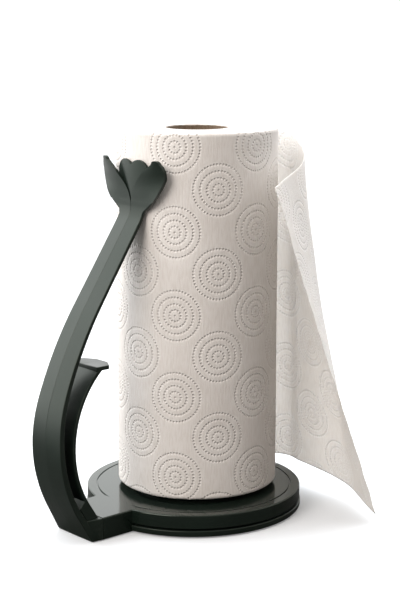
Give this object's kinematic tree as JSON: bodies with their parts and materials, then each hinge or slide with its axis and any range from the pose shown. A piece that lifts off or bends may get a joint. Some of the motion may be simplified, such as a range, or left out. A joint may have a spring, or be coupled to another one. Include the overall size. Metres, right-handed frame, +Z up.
{
  "type": "paper towel holder",
  "caption": "Upright kitchen paper holder with a weighted round base, a hidden spindle and a sprung curved arm ending in a tulip that presses on the roll.",
  "frame": {"origin": "on the spindle's axis, at the underside of the rubber mat that the holder stands on", "axes": "+Z up along the spindle, -X towards the arm, +Y to the arm's left when looking from the arm to the roll's far side"},
  "size_m": [0.2322, 0.2059, 0.287],
  "materials": {
    "green_plastic": "satin, very dark grey-green",
    "rubber": "matte",
    "ballast_steel": "plain sheet",
    "zinc_steel": "zinc plated",
    "cardboard": "uncoated",
    "paper": "embossed, absorbent"
  },
  "bodies": {
    "base": {"base_shell": "green_plastic", "weight_plate": "ballast_steel", "bottom_cover": "green_plastic", "grip_mat": "rubber", "foot_pad": "rubber", "roll_seat": "green_plastic", "spindle_tube": "green_plastic", "spindle_cap": "green_plastic", "tie_rod": "zinc_steel", "tie_rod_washer": "zinc_steel", "lower_arm": "green_plastic", "leaf": "green_plastic", "cover_screw_1": "zinc_steel", "cover_screw_2": "zinc_steel", "cover_screw_3": "zinc_steel", "cover_screw_4": "zinc_steel", "arm_screw_1": "zinc_steel", "arm_screw_2": "zinc_steel", "leaf_screw_1": "zinc_steel", "leaf_screw_2": "zinc_steel"},
    "arm": {"upper_stem": "green_plastic", "tulip_head": "green_plastic"},
    "sheet": {"loose_sheet": "paper"},
    "roll": {"roll_core": "cardboard", "paper_roll": "paper"}
  },
  "joints": [
    {"name": "arm_flex", "type": "hinge", "parent": "base", "child": "arm", "pos_m": [-0.12964, 0, 0.11517], "axis": [0, -1, 0], "range_deg": [0, 14], "stiffness_Nm_per_rad": 1.2, "springref_deg": -17.19},
    {"name": "roll_lift", "type": "slide", "parent": "base", "child": "sheet", "axis": [0, 0, 1], "range_m": [0, 0.245]},
    {"name": "roll_turn", "type": "hinge", "parent": "sheet", "child": "roll", "pos_m": [0.0035, 0, 0], "axis": [0, 0, 1], "continuous": true}
  ]
}
